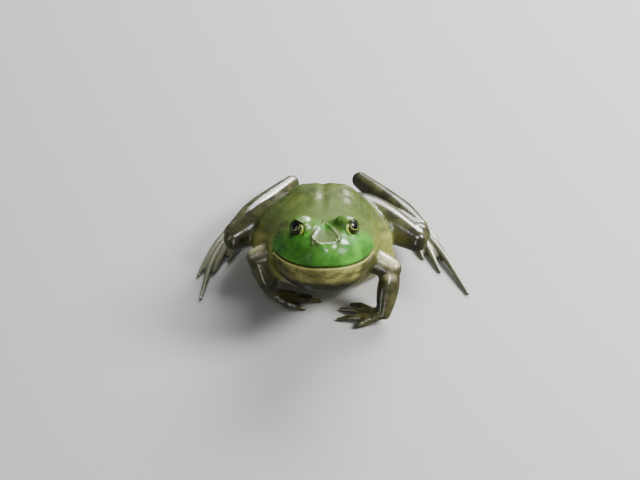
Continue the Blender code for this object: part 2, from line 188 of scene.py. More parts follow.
# height, distance from the eardrum's middle, half breadth
EARDRUM = ((-0.25, EARDRUM_RADIUS, 0.8), (0.35, 0, 2), (0.08, EARDRUM_RADIUS + 1.2, 0.9))
# folds of loose skin in body axes: the line, its height and half breadth
FOLDS = (
    (((19, 33, 19), (24, 38, 17.5), (28.5, 46, 14), (30.5, 52, 8), (31.5, 56, 0)), 1.4, 1.4),
    (((30, 44, -2), (31, 50, -6), (31, 55, -12), (28, 58, -19)), 1.1, 1.6),
    (((33, 58, 4), (38, 72, 2), (43, 88, -2), (44, 102, -6)), 0.8, 2.4),
    (((33, 66, -10), (40, 78, -14), (44, 92, -18), (42, 104, -22)), 0.9, 2.2),
    (((32, 70, -19), (38, 84, -24), (40, 98, -27)), 0.8, 2),
    (((5, 52, 22), (5, 70, 24), (5, 92, 26), (4, 112, 21)), 0.35, 3),
)


# ---- curves
def step(low, high, value):
    """Smooth step from 0 at low to 1 at high, t^2 (3 - 2t)."""
    t = np.clip((value - low) / (high - low), 0, 1)
    return t * t * (3 - 2 * t)


def bell(value, middle, spread):
    """Bell curve of height 1."""
    return np.exp(-((value - middle) / spread) ** 2)


def ridges(value, rows):
    """Sum of bell curves, each row being its height, middle and half breadth."""
    return sum(height * bell(value, middle, breadth) for height, middle, breadth in rows)


def smooth_rows(rows, count, round_ends=False):
    """Catmull-Rom curve through the rows, at even steps of its parameter: between rows b and c,
    with a before and d after, half of 2b + (c - a) t + (2a - 5b + 4c - d) t^2
    + (3b - a - 3c + d) t^3. Round ends start and finish square to the first column."""
    rows = np.array(rows, float)
    before = 2 * rows[0] - rows[1]
    after = 2 * rows[-1] - rows[-2]
    if round_ends:
        before[0] = rows[1][0]
        after[0] = rows[-2][0]
    rows = np.vstack((before, rows, after))
    place = np.linspace(0, len(rows) - 3, count)
    span = np.minimum(place.astype(int), len(rows) - 4)
    t = (place - span)[:, None]
    a, b, c, d = (rows[span + k] for k in range(4))
    return 0.5 * (2 * b + (c - a) * t + (2 * a - 5 * b + 4 * c - d) * t**2
                  + (3 * b - a - 3 * c + d) * t**3)


def circle(count):
    """Angles at even steps all round."""
    return np.radians(np.linspace(0, 360, count, endpoint=False))


def sample(curve, parts):
    """Points of a curve of even steps at parts of its length, 0 to 1."""
    steps = np.linspace(0, 1, len(curve))
    return np.stack([np.interp(parts, steps, column) for column in curve.T], axis=-1)


def waves(points, size, seed):
    """Smooth irregular field about 0: nine sine waves in fixed directions, about size long."""
    pick = np.random.default_rng(seed)
    total = np.zeros(len(points))
    for _ in range(9):
        way = pick.normal(size=3)
        way *= 2 * math.pi / (size * pick.uniform(0.7, 1.5) * np.linalg.norm(way))
        total += np.sin(points @ way + pick.uniform(0, 6.3))
    return total / 3


def on_path(points, path, radius):
    """For each point: the place along a path from 0 to 1, its distance from the path in units
    of the radius there, the nearest point of the path, and that radius."""
    best = np.full(len(points), np.inf)
    place, breadth, foot = np.zeros(len(points)), np.ones(len(points)), np.zeros_like(points)
    for k in range(len(path) - 1):
        span = path[k + 1] - path[k]
        t = np.clip((points - path[k]) @ span / (span @ span), 0, 1)
        nearest = path[k] + t[:, None] * span
        here = radius[k] + (radius[k + 1] - radius[k]) * t
        gap = np.linalg.norm(points - nearest, axis=1) / here
        closer = gap < best
        breadth[closer] = here[closer]
        best[closer], foot[closer] = gap[closer], nearest[closer]
        place[closer] = ((k + t) / (len(path) - 1))[closer]
    return place, best, foot, breadth


def along_limb(points, path, shape):
    """The same for a limb, its radius the mean of half width and half height."""
    path = smooth_rows(path, 14) if len(path) < 5 else np.asarray(path)[::2]
    radius = smooth_rows(shape, 60)
    radius = np.interp(np.linspace(0, 1, len(path)), radius[:, 0], radius[:, 1:].mean(axis=1))
    return on_path(points, path, radius)


def near_line(points, line):
    """Distance of each point from a smooth line in millimetres, and the place along it."""
    place, gap, _, _ = on_path(points, smooth_rows(line, 24), np.ones(24))
    return gap, place


# ---- the body's form and axes
BODY_CURVE = smooth_rows(BODY, 1600, round_ends=True)


def body_section(along):
    """Section values at each distance behind the lip, read from the curve through BODY."""
    return [np.interp(along, BODY_CURVE[:, 0], column) for column in BODY_CURVE.T[1:]]


def body_surface(along, angle):
    """Point of the body at (along, angle): a superellipse across the body above its widest
    place and another below it, x = w cos^(2/p), z = c + h sin^(2/p), with two bell-shaped
    ridges of the hips added on the upper half."""
    half_width, top, widest, underside, upper_power, lower_power = body_section(along)
    across, above = np.cos(angle), np.sin(angle)
    power = 2 / np.where(above >= 0, upper_power, lower_power)
    reach = np.where(above >= 0, top - widest, widest - underside)
    x = half_width * np.sign(across) * np.abs(across) ** power
    z = widest + reach * np.sign(above) * np.abs(above) ** power
    height, aside, breadth, place, length = HIP_RIDGE
    z = z + height * bell(np.abs(x), aside, breadth) * bell(along, place, length) * (above > 0)
    return np.stack((x, along + 0 * x, z), axis=-1)


EARDRUM_PLACE = body_surface(np.array(EARDRUM_ALONG), np.array(EARDRUM_ANGLE))


def neck_turn(along):
    """The head's turn at each place along the body: full in the head, eased off over the neck."""
    return HEAD_TURN * step(TURN_REAR, TURN_REAR - TURN_BLEND, along)


def to_world(points):
    """Body axes to world axes: turn about the neck, then pitch about the world's X."""
    x, along, above = np.moveaxis(np.asarray(points, float), -1, 0)
    turn = neck_turn(along)
    ahead = along - TURN_PIVOT
    turned_x = x * np.cos(turn) - ahead * np.sin(turn)
    turned_along = TURN_PIVOT + x * np.sin(turn) + ahead * np.cos(turn)
    y = turned_along * math.cos(PITCH) + above * math.sin(PITCH) - LIP_AHEAD
    z = LIP_HEIGHT + above * math.cos(PITCH) - turned_along * math.sin(PITCH)
    return np.stack((turned_x, y, z), axis=-1)


def to_body(points):
    """World axes back to body axes; the turn is found by repeating it three times."""
    x, y, z = np.moveaxis(np.asarray(points, float), -1, 0)
    y, z = y + LIP_AHEAD, z - LIP_HEIGHT
    turned = y * math.cos(PITCH) - z * math.sin(PITCH)
    above = y * math.sin(PITCH) + z * math.cos(PITCH)
    along = turned
    for _ in range(3):
        turn = neck_turn(along)
        along = TURN_PIVOT - x * np.sin(turn) + (turned - TURN_PIVOT) * np.cos(turn)
    across = x * np.cos(turn) + (turned - TURN_PIVOT) * np.sin(turn)
    return np.stack((across, along, above), axis=-1)


def folded(points):
    """Body axes with the right side laid onto the left."""
    body = to_body(points)
    body[..., 0] = np.abs(body[..., 0])
    return body


# ---- surfaces on grids
def grid_faces(rows, sides, offset):
    """Quads of a tube of points and the two fans that close its ends."""
    index = np.arange(rows * sides).reshape(rows, sides) + offset
    following = np.roll(index, -1, axis=1)
    quads = np.stack((index[:-1], following[:-1], following[1:], index[1:]), axis=-1)
    first, last = rows * sides + offset, rows * sides + 1 + offset
    near = np.stack((np.full(sides, first), following[0], index[0]), axis=-1)
    far = np.stack((np.full(sides, last), index[-1], following[-1]), axis=-1)
    return quads.reshape(-1, 4).tolist() + near.tolist() + far.tolist()


class Shells:
    """Closed surfaces gathered in one mesh, each a grid of points (row, side, xyz). None of
    them goes below the floor."""

    def __init__(self):
        self.points, self.faces, self.count = [], [], 0

    def add(self, grid):
        grid = on_floor(grid)
        rows, sides = grid.shape[:2]
        tops = grid[[0, -1]].mean(axis=1)
        self.faces += grid_faces(rows, sides, self.count)
        self.points.append(np.vstack((grid.reshape(-1, 3), tops)))
        self.count += rows * sides + 2

    def mesh(self, name):
        made = bpy.data.meshes.new(name)
        made.from_pydata((np.vstack(self.points) * MM).tolist(), [], self.faces)
        return made


def limb_grid(path, shape, count, sides):
    """Limb of elliptic sections along a smooth path: p(s, a) = c(s) + w(s) cos a * side
    + h(s) sin a * top, with each end rounded off by a quarter ellipse."""
    parts = np.linspace(0, 1, count)
    centre = sample(smooth_rows(path, 200), parts)
    shape = smooth_rows(shape, 200)
    width, height = (np.interp(parts, shape[:, 0], c) for c in shape.T[1:])
    tangent = np.gradient(centre, axis=0)
    tangent /= np.linalg.norm(tangent, axis=1, keepdims=True)
    side = np.cross(tangent, (0, 0, 1))
    side /= np.linalg.norm(side, axis=1, keepdims=True)
    top = np.cross(side, tangent)
    rows = np.clip(np.arange(-8, count + 8), 0, count - 1)
    off = np.radians(np.hstack((np.linspace(80, 10, 8), np.zeros(count), np.linspace(-10, -80, 8))))
    shift, scale = -width[rows] * np.sin(off), np.cos(off)
    angle = circle(sides)[None, :, None]
    ring = (width[rows, None, None] * np.cos(angle) * side[rows, None]
            + height[rows, None, None] * np.sin(angle) * top[rows, None])
    return (centre[rows, None] + tangent[rows, None] * shift[:, None, None]
            + scale[:, None, None] * ring)


def ball_grid(middle, radius):
    """Sphere: p(u, v) = m + r (sin u cos v, sin u sin v, cos u)."""
    u = np.radians(np.linspace(3, 177, 40))[:, None]
    v = circle(64)[None]
    unit = np.stack((np.sin(u) * np.cos(v), np.sin(u) * np.sin(v), np.cos(u) + 0 * v), axis=-1)
    return middle + radius * unit


def on_floor(points):
    """What would sink into the floor is pressed flat on it."""
    points = points.copy()
    points[..., 2] = np.maximum(points[..., 2], 0)
    return points


def digit_paths(knuckles, tips, width, arch):
    """Smooth path of each digit, fanning out from the knuckles to its tip on the floor."""
    knuckles = np.array(knuckles, float)
    ends = np.array([(x, y, TIP_HEIGHT) for x, y, _ in tips])
    heading = (ends.mean(axis=0) - knuckles) * (1, 1, 0)
    across = np.cross((0, 0, 1), heading / np.linalg.norm(heading))
    across *= np.sign(across @ (ends[-1] - ends[0]))
    starts = knuckles + across * width * (np.linspace(0, 1, len(tips)) - 0.5)[:, None]
    bows = np.array([bow for _, _, bow in tips])[:, None]
    middles = (starts + ends) / 2 + across * bows + (0, 0, arch)
    return [smooth_rows(row, 41) for row in zip(starts, middles, ends)]


def web_grid(first, second, reach_one, reach_two):
    """Web between two toes: p(s, t) runs from one toe's path to the next, its outer edge drawn
    in as a half sine, and its section a flat oval that closes round its edges."""
    s = np.linspace(0, 1, 40)
    one = sample(first[:round(reach_one * 40) + 1], s)[:, None]
    two = sample(second[:round(reach_two * 40) + 1], s)[:, None]
    t = np.linspace(0, 1, 22)[None, :, None]
    draw = 1 - WEB_HOLLOW * np.sin(np.pi * t) * s[:, None, None] ** 2
    sheet = one * (1 - t) + two * t
    root = sheet[:1]
    sheet = root + (sheet - root) * draw
    sheet[..., 2] = 0
    low = sheet + (0, 0, 0.05)
    return np.concatenate((sheet + (0, 0, WEB_THICKNESS), low[:, ::-1]), axis=1)


def limb_rows():
    """All limbs and digits, each as its path, shape, number and strength of dark bars, weight
    as a part of the foot, and the size of its grid."""
    rows = []
    for at in JOINTS.values():
        rows += [([at[joint] for joint in joints], shape, count, strength, 0, LIMB_GRID)
                 for joints, shape, count, strength in LIMBS]
        heading = (np.array(at["toes"][3]) - at["ankle"]) * (1, 1, 0)
        root = at["ankle"] + SOLE_LENGTH * heading / np.linalg.norm(heading) - (0, 0, SOLE_DROP)
        fingers = digit_paths(at["knuckles"], at["fingers"], FINGER_SPREAD, FINGER_ARCH)
        toes = digit_paths(root, at["toes"], TOE_SPREAD, TOE_ARCH)
        rows += [((at["ankle"], root), METATARSUS, 1, 0.5, 1, SOLE_GRID)]
        rows += [(path, FINGER, 2, 0.6, 0, FINGER_GRID) for path in fingers]
        rows += [(path, TOE, 5, 0.6, 1, TOE_GRID) for path in toes]
    return rows


def skin_shells(limbs):
    """All closed surfaces of the flesh, in the world. The body's rows lie closer together at
    its two ends."""
    shells = Shells()
    along = TAIL / 2 * (1 - np.cos(np.radians(np.linspace(6, 177, 220))))[:, None]
    shells.add(to_world(body_surface(along, circle(200)[None])))
    for side, sign in SIDES.items():
        mirror, at = np.array((sign, 1, 1)), JOINTS[side]
        knee = (np.array(at["knee"]) + at["shin"]) / 2 + KNEE_SHIFT
        shells.add(ball_grid(to_world(mirror * EYE_PLACE), EYE_RADIUS + EYE_COVER))
        shells.add(ball_grid(to_world(mirror * ORBIT_PLACE), ORBIT_RADIUS))
        shells.add(ball_grid(knee, KNEE_RADIUS))
    for path, shape, _, _, _, grid in limbs:
        wrap = WRAP if shape in (FINGER, TOE) else 0
        shells.add(limb_grid(path, np.array(shape) + (0, wrap, wrap), *grid))
    toes = [path for path, shape, *_ in limbs if shape is TOE]
    for foot in (toes[:5], toes[5:]):
        for k in range(4):
            shells.add(web_grid(foot[k], foot[k + 1], WEB_REACH[k], WEB_REACH[k + 1]))
    return shells


# ---- meshes as arrays
def put(name, data):
    made = bpy.data.objects.new(name, data)
    bpy.context.scene.collection.objects.link(made)
    return made


def read(items, key, width, kind=float):
    values = np.empty(len(items) * width, kind)
    items.foreach_get(key, values)
    return values.reshape(-1, width)


def read_points(mesh):
    return read(mesh.vertices, "co", 3) / MM


def read_normals(mesh):
    return read(mesh.vertices, "normal", 3)


def read_edges(mesh):
    return read(mesh.edges, "vertices", 2, np.int32)


def write_points(mesh, points):
    mesh.vertices.foreach_set("co", (points * MM).ravel())
    mesh.update()


def one_surface(shells):
    """One closed mesh of even quads round all the shells."""
    mesh = shells.mesh("shells")
    piece = put("shells", mesh)
    wrap = piece.modifiers.new("wrap", "REMESH")
    wrap.mode = "VOXEL"
    wrap.voxel_size = VOXEL * MM
    wrapped = bpy.data.meshes.new_from_object(
        piece.evaluated_get(bpy.context.evaluated_depsgraph_get()))
    bpy.data.objects.remove(piece)
    bpy.data.meshes.remove(mesh)
    return wrapped


def neighbour_mean(values, edges):
    """Mean of each point's neighbours along the edges."""
    count = len(values)
    ends = np.concatenate((edges[:, 0], edges[:, 1]))
    others = np.concatenate((edges[:, 1], edges[:, 0]))
    degree = np.bincount(ends, minlength=count)
    flat = values.reshape(count, -1)
    sums = np.stack([np.bincount(ends, weights=column[others], minlength=count)
                     for column in flat.T], axis=-1)
    return (sums / np.maximum(degree, 1)[:, None]).reshape(values.shape)


def spread(values, edges, times):
    """Blurs a field over the surface, half way to the neighbours' mean at a time."""
    for _ in range(times):
        values = 0.5 * values + 0.5 * neighbour_mean(values, edges)
    return values


def relax(points, edges, times, undo):
    """Each point moves half way towards its neighbours' mean m, and by undo back out again,
    which keeps the volume: p += (m - p) / 2, p -= u (m - p)."""
    for _ in range(times):
        points = points + 0.5 * (neighbour_mean(points, edges) - points)
        points = points - undo * (neighbour_mean(points, edges) - points)
    return points


def refine(mesh, chosen):
    """Halves the edges whose two ends are both chosen."""
    work = bmesh.new()
    work.from_mesh(mesh)
    work.edges.ensure_lookup_table()
    picked = np.flatnonzero(chosen[read_edges(mesh)].all(axis=1))
    bmesh.ops.subdivide_edges(
        work, edges=[work.edges[i] for i in picked], cuts=1, use_grid_fill=True)
    work.to_mesh(mesh)
    work.free()


# ---- places on the head
def head_weight(along, above):
    """1 on the head and 0 on the neck and under the throat."""
    return step(60, 54, along) * step(-14, -10, above)


def direction(azimuth, elevation):
    """Unit vector in body axes, for the left side: outward from straight ahead, then up."""
    azimuth, elevation = math.radians(azimuth), math.radians(elevation)
    return np.array((math.sin(azimuth) * math.cos(elevation),
                     -math.cos(azimuth) * math.cos(elevation), math.sin(elevation)))


def square_to(axis):
    """Two unit vectors square to an axis: the one nearest to straight up, and one aside."""
    upward = np.array((0, 0, 1.0)) - axis[2] * axis
    upward /= np.linalg.norm(upward)
    return upward, np.cross(upward, axis)


def about_eye(points):
    """For points in folded body axes: distance from the eyeball's middle, angle from the
    opening's axis, and place round it from the front corner upward, both in degrees."""
    away = points - EYE_PLACE
    distance = np.linalg.norm(away, axis=-1)
    unit = away / np.maximum(distance, 1e-6)[..., None]
    axis = direction(*OPENING_AXIS)
    upward, frontward = square_to(axis)
    frontward *= -np.sign(frontward[1])
    angle = np.degrees(np.arccos(np.clip(unit @ axis, -1, 1)))
    around = np.degrees(np.arctan2(unit @ upward, unit @ frontward)) % 360
    return distance, angle, around


def opening_edge(around):
    """Half angle of the opening at each place round it: OPENING's broken line, rounded by a
    running mean over nine steps of 5 degrees."""
    places, edges = np.array(OPENING, float).T
    fine = np.arange(0, 361, 5)
    curve = np.interp(fine, places, edges)
    curve = np.convolve(np.concatenate((curve[-5:-1], curve, curve[1:5])), np.ones(9) / 9, "valid")
    return np.interp(around, fine, curve)


def from_eardrum(body):
    return np.linalg.norm(body - EARDRUM_PLACE, axis=1)


def lip_line(along, above):
    """Height above the line between the lips, which turns down towards the mouth's corners."""
    return above + MOUTH_DROP * np.maximum(along - MOUTH_BEND, 0) ** 2


def kite(x, along):
    """0 in the middle of the snout's flat top and 1 on its outline, ((|x| / half width)^p
    + (|y| / length)^p)^(1/p), with p = 1 behind its widest place and 1.5 in front."""
    front_end, widest, rear_end, half = KITE
    length = np.where(along < widest, widest - front_end, rear_end - widest)
    power = np.where(along < widest, 1.5, 1.0)
    across, ahead = np.abs(x) / half, np.abs(along - widest) / length
    return (across**power + ahead**power) ** (1 / power)


def nostril(x, along):
    """0 in the middle of the nostril's slanting oval and 1 on its edge."""
    aside, ahead = x - NOSTRIL[0], along - NOSTRIL[1]
    u = aside * math.cos(NOSTRIL_SLANT) + ahead * math.sin(NOSTRIL_SLANT)
    v = ahead * math.cos(NOSTRIL_SLANT) - aside * math.sin(NOSTRIL_SLANT)
    return np.hypot(u / NOSTRIL_HALF[0], v / NOSTRIL_HALF[1])


# ---- the skin's form
def soften_joints(mesh):
    """Rounds off the creases where one surface runs into another. The hollowness of a point is
    how far it lies below its neighbours along its normal; hollow places, widened a little, are
    relaxed, strongly on the head and less where limbs fold against the body."""
    edges = read_edges(mesh)
    points = relax(read_points(mesh), edges, 3, 0.52)
    write_points(mesh, points)
    hollow = ((neighbour_mean(points, edges) - points) * read_normals(mesh)).sum(axis=1)
    crease = step(0.03, 0.12, hollow)
    for _ in range(4):
        crease = np.maximum(crease, neighbour_mean(crease, edges))
    for _ in range(3):
        crease = neighbour_mean(crease, edges)
    _, along, above = to_body(points).T
    crease = crease * (JOINT_SOFTNESS + (1 - JOINT_SOFTNESS) * head_weight(along, above))
    for _ in range(60):
        points = points + 0.5 * crease[:, None] * (neighbour_mean(points, edges) - points)
    write_points(mesh, points)


def shape_digits(mesh, limbs):
    """Finer mesh on fingers and toes, each point then set on its digit's own round surface,
    foot + (p - foot) / gap, and the webs between the toes pressed thin."""
    for level in range(2):
        points = read_points(mesh)
        count = len(points)
        nearest, webbed = np.full(count, np.inf), np.full(count, np.inf)
        place, breadth, foot = np.zeros(count), np.ones(count), points.copy()
        for path, shape, *_ in limbs:
            if shape in (FINGER, TOE):
                here, gap, middle, radius = along_limb(points, path, shape)
                closer = gap < nearest
                nearest[closer], place[closer] = gap[closer], here[closer]
                foot[closer], breadth[closer] = middle[closer], radius[closer]
                if shape is TOE:
                    webbed = np.minimum(webbed, gap)
        if level == 0:
            refine(mesh, (nearest < 1.7) & (place > 0.12))
    web = step(1.15, 1.7, webbed) * step(9, 6, webbed) * step(2.6, 2.0, points[:, 2])
    own = step(1.3, 0.9, (nearest - 1) * breadth) * step(0.05, 0.25, place)
    own *= step(0.3, 0.6, nearest)
    set_to = foot + (points - foot) / np.maximum(nearest, 0.3)[:, None]
    points = points + own[:, None] * (set_to - points)
    points[:, 2] *= 1 - 0.5 * web
    write_points(mesh, on_floor(points))


def refine_face(mesh):
    """Finer mesh where the small forms are, in three steps, each smoothed."""
    for level in range(3):
        body = folded(read_points(mesh))
        x, along, above = body.T
        distance, angle, around = about_eye(body)
        from_edge = np.abs(angle - opening_edge(around))
        from_nostril = np.hypot(x - NOSTRIL[0], along - NOSTRIL[1])
        flat, drum = kite(x, along), from_eardrum(body)
        head = (along < 52) & (above > -10)
        if level == 0:
            chosen = ((distance < 9.5) | (from_nostril < 4) | (np.abs(above) < 3.6)
                      | (drum < 8) | ((flat < 1.5) & (above > 5)))
        elif level == 1:
            chosen = (((distance < 9) & (from_edge < 16)) | ((np.abs(flat - 1) < 0.3) & (above > 5))
                      | ((from_nostril < 3) & (above > 8)) | (np.abs(drum - EARDRUM_RADIUS) < 1.4)
                      | ((np.abs(above) < 1.9) & (along < 48)))
        else:
            chosen = (distance < 8.5) & (from_edge < 8)
        refine(mesh, head & chosen)
        points = read_points(mesh)
        _, along, above = to_body(points).T
        smooth = relax(points, read_edges(mesh), 2, 0.51)
        write_points(mesh, points + head_weight(along, above)[:, None] * (smooth - points))


def raise_face(mesh):
    """Small forms of the head, each a bell-shaped rise or dip along the skin's normal."""
    points = read_points(mesh)
    body = folded(points)
    x, along, above = body.T
    on_top = step(3, 8, above)
    flat, pit, drum = kite(x, along), nostril(x, along), from_eardrum(body)
    mouth = step(MOUTH_CORNER + 2.5, MOUTH_CORNER - 2.5, along)
    rise = mouth * ridges(lip_line(along, above), LIPS)
    rise += on_top * (KITE_RIDGE * bell(flat, 1.02, 0.15) - KITE_DEPTH * step(1.0, 0.15, flat))
    for height, middle, breadth, place, length, lowest in SNOUT:
        where = on_top if lowest is None else above > lowest
        rise += height * bell(x, middle, breadth) * bell(along, place, length) * where
    in_front = (above > 5) * (along < 16)
    rise += in_front * (0.35 * bell(pit, 1.7, 0.8) - 1.1 * step(1.25, 0.4, pit))
    rise += ridges(drum, EARDRUM) - 0.2 * step(EARDRUM_RADIUS, EARDRUM_RADIUS - 1.5, drum)
    rise *= head_weight(along, above)
    points = points + rise[:, None] * read_normals(mesh)
    write_points(mesh, on_floor(set_lids(points)))


def set_lids(points):
    """Each point near the eye keeps its direction from the eyeball's middle and gets a new
    distance: just inside the eyeball in the opening, just outside it on the rim of the lids."""
    body = folded(points)
    distance, angle, around = about_eye(body)
    edge = opening_edge(around)
    near = step(10, 8.2, distance)
    inside = near * step(edge + 2.5, edge - 2.5, angle)
    rim = near * bell(angle, edge + 5, 5)
    wanted = distance + 0.8 * rim * (EYE_RADIUS + LID - distance)
    wanted = wanted + inside * (EYE_RADIUS - LID_TUCK - wanted)
    moved = EYE_PLACE + (body - EYE_PLACE) * (wanted / np.maximum(distance, 1e-6))[:, None]
    moved[:, 0] *= np.sign(to_body(points)[:, 0])
    touched = (near > 0) & ((inside > 0) | (rim > 0.01))
    return np.where(touched[:, None], to_world(moved), points)


def raise_folds(mesh, limbs):
    """Folds of loose skin, each a rise with a furrow beside it, the backbone's furrow, creases
    of the throat and the flanks' unevenness, all along the skin's normal."""
    points, edges = read_points(mesh), read_edges(mesh)
    body = folded(points)
    x, along, above = body.T
    rise = np.zeros(len(points))
    wander = waves(points, 16, 3)
    for line, height, breadth in FOLDS:
        gap, place = near_line(body, line)
        ends = step(0, 0.15, place) * step(1, 0.8, place)
        rise += height * ends * bell(gap + 0.3 * wander, 0, breadth)
        rise -= 0.4 * height * ends * bell(gap, 1.9 * breadth, breadth)
    on_back = step(40, 60, along) * step(128, 112, along) * step(10, 16, above)
    rise -= 0.5 * on_back * bell(x, 0, 2.2)
    flank = step(56, 66, along) * step(-3, -10, above) * (points[:, 2] > 2)
    rise += 0.22 * flank * waves(body * (1.0, 0.55, 1.6), 7, 5)
    throat = step(-4, -9, above) * step(60, 44, along)
    rise += 0.16 * throat * np.sin(above * 1.15 + 0.6 * wander) * step(0, 6, along)
    rise *= (1 - spread(limb_fields(points, limbs)[0], edges, 4)) * (points[:, 2] >= 0.4)
    points = on_floor(points + rise[:, None] * read_normals(mesh))
    write_points(mesh, np.clip(points, CAD_LOW / MM, CAD_HIGH / MM))


def make_skin():
    limbs = limb_rows()
    mesh = one_surface(skin_shells(limbs))
    soften_joints(mesh)
    shape_digits(mesh, limbs)
    refine_face(mesh)
    raise_face(mesh)
    raise_folds(mesh, limbs)
    mark_skin(mesh, limbs)
    mesh.shade_smooth()
    return put("skin", mesh)


# ---- fields that the finish reads
def limb_fields(points, limbs):
    """Weight of the limbs, strength of the dark bars across them, and weight of the feet."""
    across, along, above = folded(points).T
    half_width, top, widest, underside, _, _ = body_section(along)
    reach = np.where(above > widest, top - widest, widest - underside)
    trunk = np.hypot(across / np.maximum(half_width, 1), (above - widest) / np.maximum(reach, 1))
    nearest = (trunk - 1) * np.clip(np.minimum(half_width, reach), 1, None) - 0.5
    phase, limb, bars, feet = (np.zeros(len(points)) for _ in range(4))
    for path, shape, count, strength, foot, _ in limbs:
        place, gap, _, radius = along_limb(points, path, shape)
        gap = (gap - 1) * radius
        closer = gap < nearest
        nearest = np.minimum(gap, nearest)
        limb[closer], bars[closer], feet[closer] = 1, strength, foot
        phase[closer] = (place * count)[closer]
    wave = np.sin(2 * math.pi * (phase + 0.14 * waves(points, 9, 11)))
    return limb, step(0.05, 0.8, wave) * bars * step(-0.9, 0.6, waves(points, 13, 12)), feet


def set_fields(mesh, fields):
    """Writes fields onto the mesh's points."""
    for name, values in fields.items():
        field = mesh.attributes.new(name, "FLOAT", "POINT")
        field.data.foreach_set("value", np.ascontiguousarray(values, np.float32))


def head_fields(body, trunk):
    """Green face, flat snout, crown, lips, throat with painted shade low on it and at its sides,
    eardrums and rims of the lids.
    """
    x, along, above = body.T
    distance, angle, around = about_eye(body)
    line = lip_line(along, above)
    mouth = step(MOUTH_CORNER + 3, MOUTH_CORNER - 2, along)
    snout = step(3, 7, along) * step(24, 17, along) * step(10.5, 6.5, x) * (above > 4)
    crown = step(8, 15, above) * step(22, 34, along) * step(84, 48, along)
    lid_top = step(9.5, 7.5, distance) * step(14, 20, above)
    green = step(-0.6, 0.2, line) * step(60, 38, along + 0.35 * above) * trunk
    throat = step(0.4, -0.6, line) * step(72, 50, along) * trunk
    return {
        "green": green * (1 - 0.75 * snout) * (1 - 0.6 * crown),
        "snout": snout,
        "crown": np.maximum(crown, lid_top),
        "lip": mouth * bell(line, -1.5, 0.65),
        "mouth": mouth * bell(line, -0.2, 0.45),
        "folds": line,
        "throat": throat,
        # painted shade: the throat darkens towards its bottom and towards its sides
        "painted_throat_shade": throat * np.maximum(step(-8, -16, line), 0.6 * step(10, 24, x)),
        "drum": step(6.6, 5.6, from_eardrum(body)) * trunk,
        "rim": step(8.5, 7.6, distance) * bell(angle, opening_edge(around) - 1, 3.5),
    }


def wet_fields(points, limb):
    """Where the skin is wet: limbs most, the trunk a little, a dry saddle between the eyes, the
    cheek, the tops of the lids and the broken rim of the kite. Also two streaks of painted sheen
    on the back, a painted highlight that the finish lays on as pale colour, not wetness."""
    body = folded(points)
    x, along, above = body.T
    across = to_body(points)[:, 0]
    face = step(-4, 0, lip_line(along, above)) * step(46, 34, along)
    wet = 0.18 + 0.82 * limb - 0.08 * face * (1 - limb)
    wet += 0.85 * bell(across, 12.5, 3.2) * bell(along, 9.8, 3.2) * (above > 3)
    wet *= 1 - step(18, 22, along) * step(46, 38, along) * step(10, 7, x) * (above > 8)
    flat = kite(x, along) + 9 * (above < 4)
    rim = bell(flat, 1.05, 0.2) * np.clip(0.7 + 0.5 * waves(points, 5, 21), 0, 1)
    rim = np.maximum(rim, bell(x, 0, 5) * bell(along, 5, 2.4) * (above > 4))
    rim *= 1 - 0.95 * step(-3, 0, across) * step(12.5, 16.5, along)
    lids = (bell(across, -10, 2.4) + bell(across, 12.5, 3)) * bell(along, 23, 3.5)
    # two streaks of painted sheen along the top of the back: a painted highlight, laid on as pale
    # colour
    streaks = (bell(across, -2.4, 1.6) * bell(along, 75, 9)
               + bell(across, 14.5, 2.2) * bell(along, 78, 15)) * step(8, 14, above)
    return {
        "wet": np.clip(wet * step(0.7, 1.0, flat) + rim + lids, 0, 1),
        "sheen": streaks * np.clip(0.7 + 0.8 * waves(points, 7, 31), 0, 1),
    }


def mark_skin(mesh, limbs):
    """Writes the fields of the skin's finish, all but folds from 0 to 1, on its points."""
    points, edges = read_points(mesh), read_edges(mesh)
    upward = read_normals(mesh)[:, 2]
    limb, bars, feet = limb_fields(points, limbs)
    limb = spread(limb, edges, 24)
    head = head_fields(folded(points), 1 - limb)
    below = step(0.15, -0.75, upward) * step(30, 8, points[:, 2])
    below *= 1 - limb * step(-0.9, -0.5, upward)
    elbow = np.zeros(len(points))
    for at in JOINTS.values():
        arm = np.array((at["elbow"], at["shoulder"]), float)
        arm[1] = arm.mean(axis=0)
        elbow = np.maximum(elbow, step(11, 7, near_line(points, arm)[0]))
    set_fields(mesh, head | wet_fields(points, limb) | {
        "limb": limb,
        "side": step(0.75, 0.05, upward) * (1 - limb),
        "belly": below * (1 - 0.8 * head["throat"]),
        # pale khaki on the upward faces of the elbows and upper arms: partly their own colour and
        # partly a painted highlight
        "elbow": elbow * step(0.35, 0.95, upward) * limb,
        "bars": spread(bars, edges, 3),
        # pale feet, palest on their upward faces: partly the feet's own paler colour and partly a
        # painted highlight on the tops of the toes
        "feet": spread(feet, edges, 4) * step(-0.2, 0.9, upward),
    })


# ---- finishes
def colour(red, green, blue):
    """Screen colour, 0 to 255, as the light that a surface throws back."""
    share = np.array((red, green, blue)) / 255
    return tuple(np.where(share > 0.04045, ((share + 0.055) / 1.055) ** 2.4, share / 12.92))


